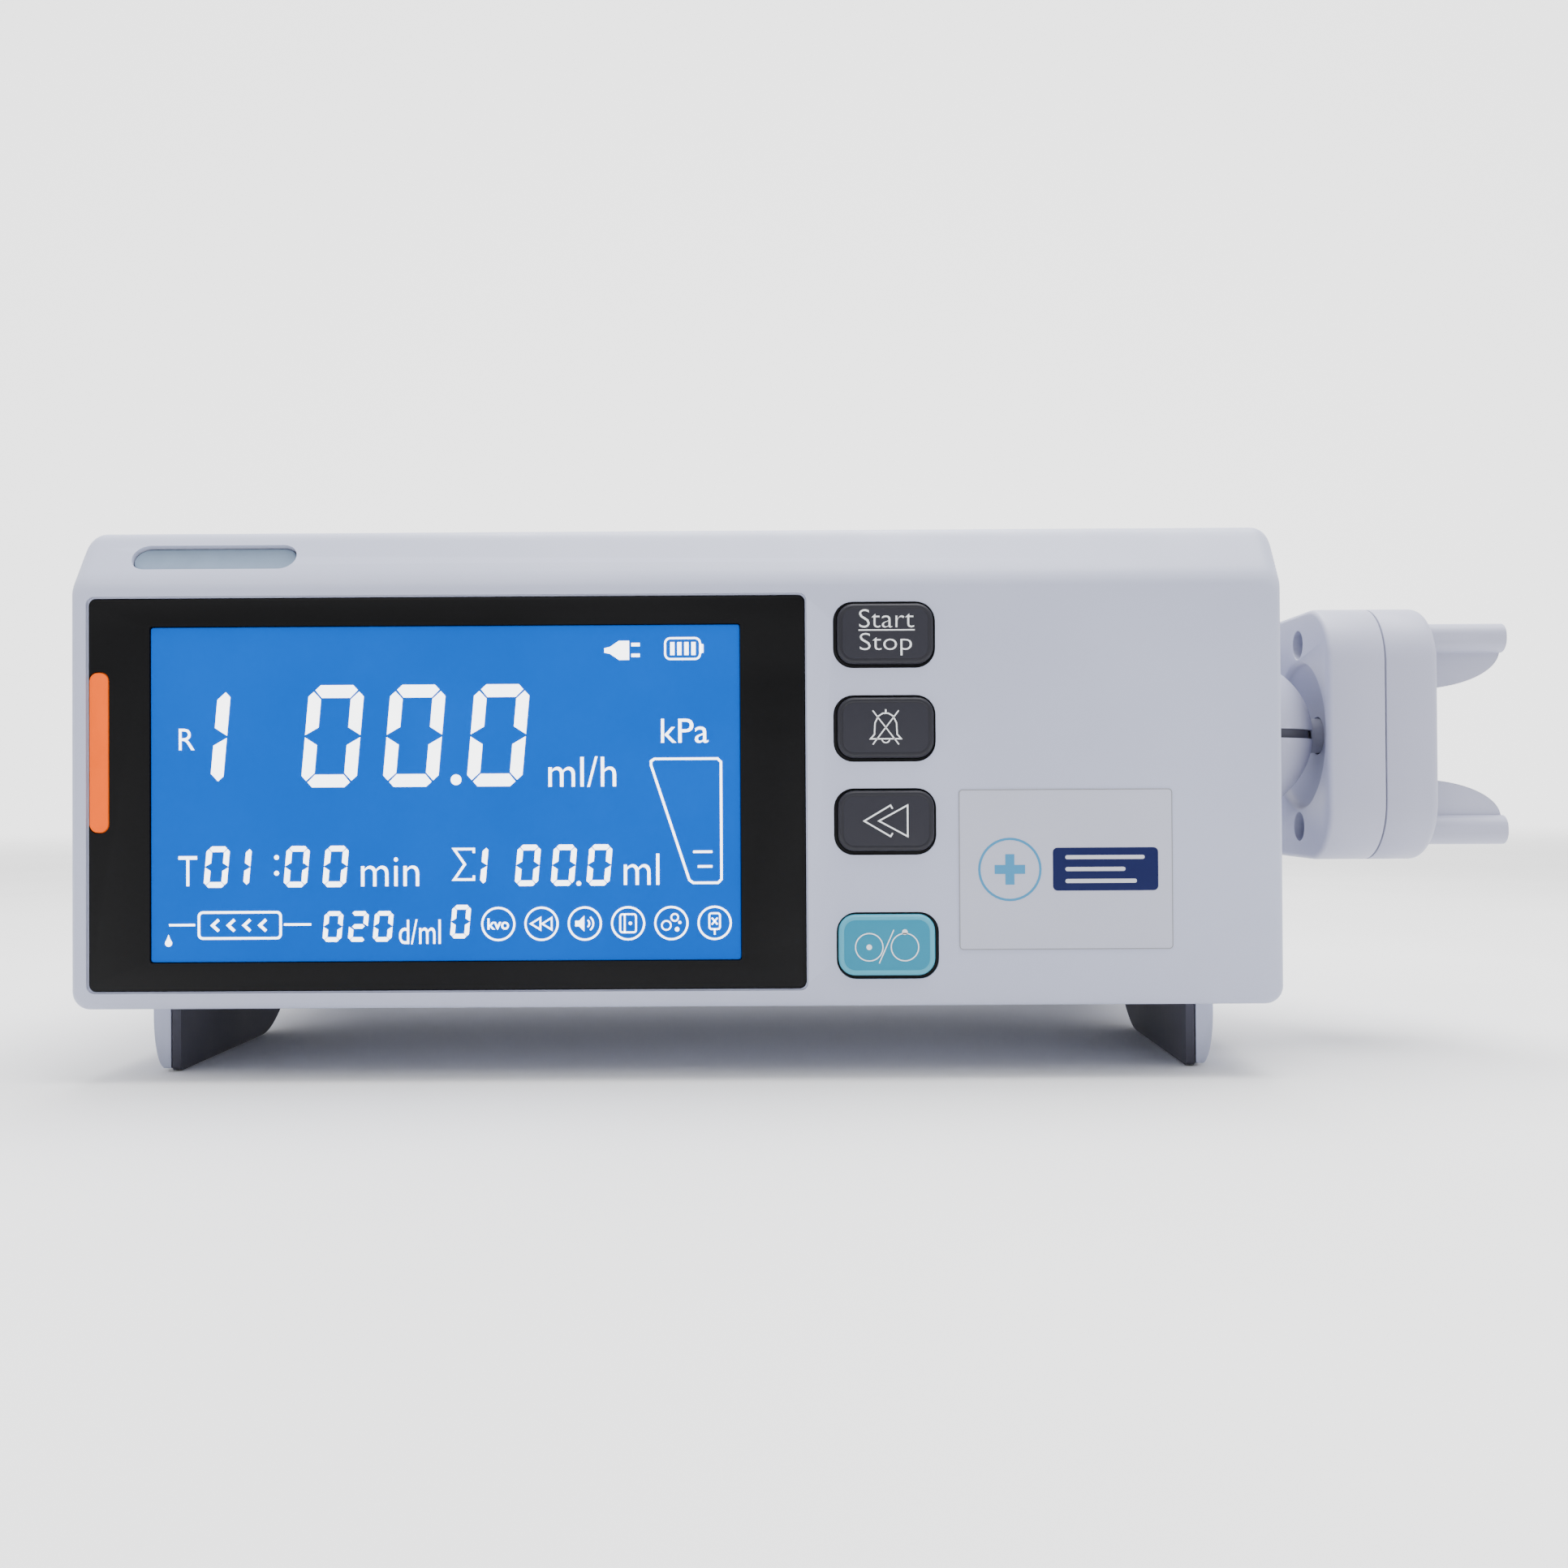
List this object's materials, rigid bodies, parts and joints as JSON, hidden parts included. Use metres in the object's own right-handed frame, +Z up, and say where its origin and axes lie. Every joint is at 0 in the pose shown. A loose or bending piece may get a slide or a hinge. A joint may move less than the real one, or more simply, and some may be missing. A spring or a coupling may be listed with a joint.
{
  "type": "infusion pump",
  "caption": "Volumetric infusion pump with a blue display and keys on a hinged door, a finger-type peristaltic drive behind it, skid feet and a swivelling pole clamp.",
  "frame": {"origin": "middle of the whole object's base, on the surface that the feet stand on", "axes": "+X to the viewer's right as the front is looked at, +Y from the front to the back, +Z up"},
  "size_m": [0.2694, 0.1228, 0.0988],
  "materials": {
    "housing_plastic": "fine matt light grey-lavender moulding",
    "door_plastic": "fine matt light grey-lavender moulding",
    "clamp_plastic": "satin light grey moulding",
    "window_glass": "black back-printed window",
    "lcd_glass": "blue backlit liquid crystal display with white segments",
    "amber_lens": "amber diffusing light bar",
    "lamp_lens": "grey-blue translucent lamp lens",
    "key_dark": "dark grey keycap with white symbols",
    "key_teal": "teal keycap with white symbols",
    "label_film": null,
    "rubber": "dull black",
    "black_plastic": "black glass-filled moulding",
    "white_acetal": "natural acetal",
    "circuit_board": "green solder mask",
    "cell_wrap": "blue shrink wrap",
    "steel": "ground steel",
    "aluminium": "milled aluminium",
    "brass": "cut brass"
  },
  "bodies": {
    "housing": {"rear_housing": "housing_plastic", "chassis_plate": "black_plastic", "finger_guide": "aluminium", "bearing_block_left": "aluminium", "bearing_block_right": "aluminium", "stepper_motor": "steel", "motor_bracket": "aluminium", "bubble_sensor": "black_plastic", "pressure_sensor": "steel", "main_board": "circuit_board", "power_supply": "circuit_board", "battery_pack": "cell_wrap", "speaker": "black_plastic", "mains_inlet": "black_plastic", "drop_sensor_socket": "black_plastic", "clamp_hub": "clamp_plastic", "skid_left": "housing_plastic", "skid_right": "housing_plastic", "skid_pad_left": "rubber", "skid_pad_right": "rubber", "rear_foot_left": "rubber", "rear_foot_right": "rubber"},
    "door": {"door_shell": "door_plastic", "door_inner_cover": "door_plastic", "display_window": "window_glass", "status_light_bar": "amber_lens", "lcd_module": "lcd_glass", "alarm_lamp_lens": "lamp_lens", "alarm_lamp_board": "circuit_board", "label_plate": "label_film", "keypad_board": "circuit_board", "hinge_pin_lower": "steel", "hinge_pin_upper": "steel"},
    "platen": {"tube_platen": "white_acetal"},
    "key_start_stop": {"key_start_stop": "key_dark"},
    "key_mute": {"key_mute": "key_dark"},
    "key_fast": {"key_fast": "key_dark"},
    "key_power": {"key_power": "key_teal"},
    "camshaft": {"camshaft": "steel", "camshaft_gear": "white_acetal"},
    "motor_pinion": {"motor_pinion": "brass"},
    "free_flow_clamp": {"free_flow_clamp": "steel"},
    "door_latch": {"door_latch": "black_plastic"},
    "clamp_swivel": {"clamp_inner_shell": "clamp_plastic", "clamp_outer_shell": "clamp_plastic", "clamp_screw_lower": "steel", "clamp_screw_upper": "steel"},
    "upper_jaw": {"upper_jaw": "clamp_plastic"},
    "lower_jaw": {"lower_jaw": "clamp_plastic"},
    "clamp_knob": {"clamp_knob": "black_plastic"},
    "finger_1": {"finger_1": "white_acetal"},
    "finger_2": {"finger_2": "white_acetal"},
    "finger_3": {"finger_3": "white_acetal"},
    "finger_4": {"finger_4": "white_acetal"},
    "finger_5": {"finger_5": "white_acetal"},
    "finger_6": {"finger_6": "white_acetal"},
    "finger_7": {"finger_7": "white_acetal"},
    "finger_8": {"finger_8": "white_acetal"}
  },
  "joints": [
    {"name": "door_hinge", "type": "hinge", "parent": "housing", "child": "door", "pos_m": [-0.13075, -0.0476, 0.013], "axis": [0, 0, -1], "range_deg": [0, 90]},
    {"name": "platen_travel", "type": "slide", "parent": "door", "child": "platen", "axis": [0, -1, 0], "range_m": [0, 0.0006], "stiffness_N_per_m": 3000},
    {"name": "latch_slide", "type": "slide", "parent": "housing", "child": "door_latch", "axis": [0, 1, 0], "range_m": [0, 0.004], "stiffness_N_per_m": 200, "springref_m": -0.001},
    {"name": "free_flow_stroke", "type": "slide", "parent": "housing", "child": "free_flow_clamp", "axis": [0, -1, 0], "range_m": [0, 0.004]},
    {"name": "camshaft_spin", "type": "hinge", "parent": "housing", "child": "camshaft", "pos_m": [-0.02725, -0.0186, 0.03], "axis": [1, 0, 0], "continuous": true},
    {"name": "motor_spin", "type": "hinge", "parent": "housing", "child": "motor_pinion", "pos_m": [-0.02725, -0.0018, 0.03], "axis": [1, 0, 0], "continuous": true},
    {"name": "clamp_swivel_turn", "type": "hinge", "parent": "housing", "child": "clamp_swivel", "pos_m": [0.08025, -0.0236, 0.0619], "axis": [1, 0, 0], "range_deg": [-90, 90]},
    {"name": "clamp_knob_turn", "type": "hinge", "parent": "clamp_swivel", "child": "clamp_knob", "pos_m": [0.11125, -0.0236, 0.0619], "axis": [0, -1, 0], "range_deg": [0, 85]},
    {"name": "upper_jaw_slide", "type": "slide", "parent": "clamp_swivel", "child": "upper_jaw", "axis": [0, 0, -1], "range_m": [0, 0.0047]},
    {"name": "lower_jaw_slide", "type": "slide", "parent": "clamp_swivel", "child": "lower_jaw", "axis": [0, 0, 1], "range_m": [0, 0.005]},
    {"name": "key_start_stop_press", "type": "slide", "parent": "door", "child": "key_start_stop", "axis": [0, 1, 0], "range_m": [0, 0.001], "stiffness_N_per_m": 400},
    {"name": "key_mute_press", "type": "slide", "parent": "door", "child": "key_mute", "axis": [0, 1, 0], "range_m": [0, 0.001], "stiffness_N_per_m": 400},
    {"name": "key_fast_press", "type": "slide", "parent": "door", "child": "key_fast", "axis": [0, 1, 0], "range_m": [0, 0.001], "stiffness_N_per_m": 400},
    {"name": "key_power_press", "type": "slide", "parent": "door", "child": "key_power", "axis": [0, 1, 0], "range_m": [0, 0.001], "stiffness_N_per_m": 400},
    {"name": "finger_1_stroke", "type": "slide", "parent": "housing", "child": "finger_1", "axis": [0, -1, 0], "range_m": [-0.002, 0]},
    {"name": "finger_2_stroke", "type": "slide", "parent": "housing", "child": "finger_2", "axis": [0, -1, 0], "range_m": [-0.00171, 0.00029]},
    {"name": "finger_3_stroke", "type": "slide", "parent": "housing", "child": "finger_3", "axis": [0, -1, 0], "range_m": [-0.001, 0.001]},
    {"name": "finger_4_stroke", "type": "slide", "parent": "housing", "child": "finger_4", "axis": [0, -1, 0], "range_m": [-0.00029, 0.00171]},
    {"name": "finger_5_stroke", "type": "slide", "parent": "housing", "child": "finger_5", "axis": [0, -1, 0], "range_m": [0, 0.002]},
    {"name": "finger_6_stroke", "type": "slide", "parent": "housing", "child": "finger_6", "axis": [0, -1, 0], "range_m": [-0.00029, 0.00171]},
    {"name": "finger_7_stroke", "type": "slide", "parent": "housing", "child": "finger_7", "axis": [0, -1, 0], "range_m": [-0.001, 0.001]},
    {"name": "finger_8_stroke", "type": "slide", "parent": "housing", "child": "finger_8", "axis": [0, -1, 0], "range_m": [-0.00171, 0.00029]}
  ],
  "couplings": [
    {"joint": "motor_spin", "follows": "camshaft_spin", "ratio": -3},
    {"joint": "lower_jaw_slide", "follows": "upper_jaw_slide", "ratio": 1},
    {"joint": "clamp_knob_turn", "follows": "upper_jaw_slide", "rad_per_m": 312.5}
  ]
}
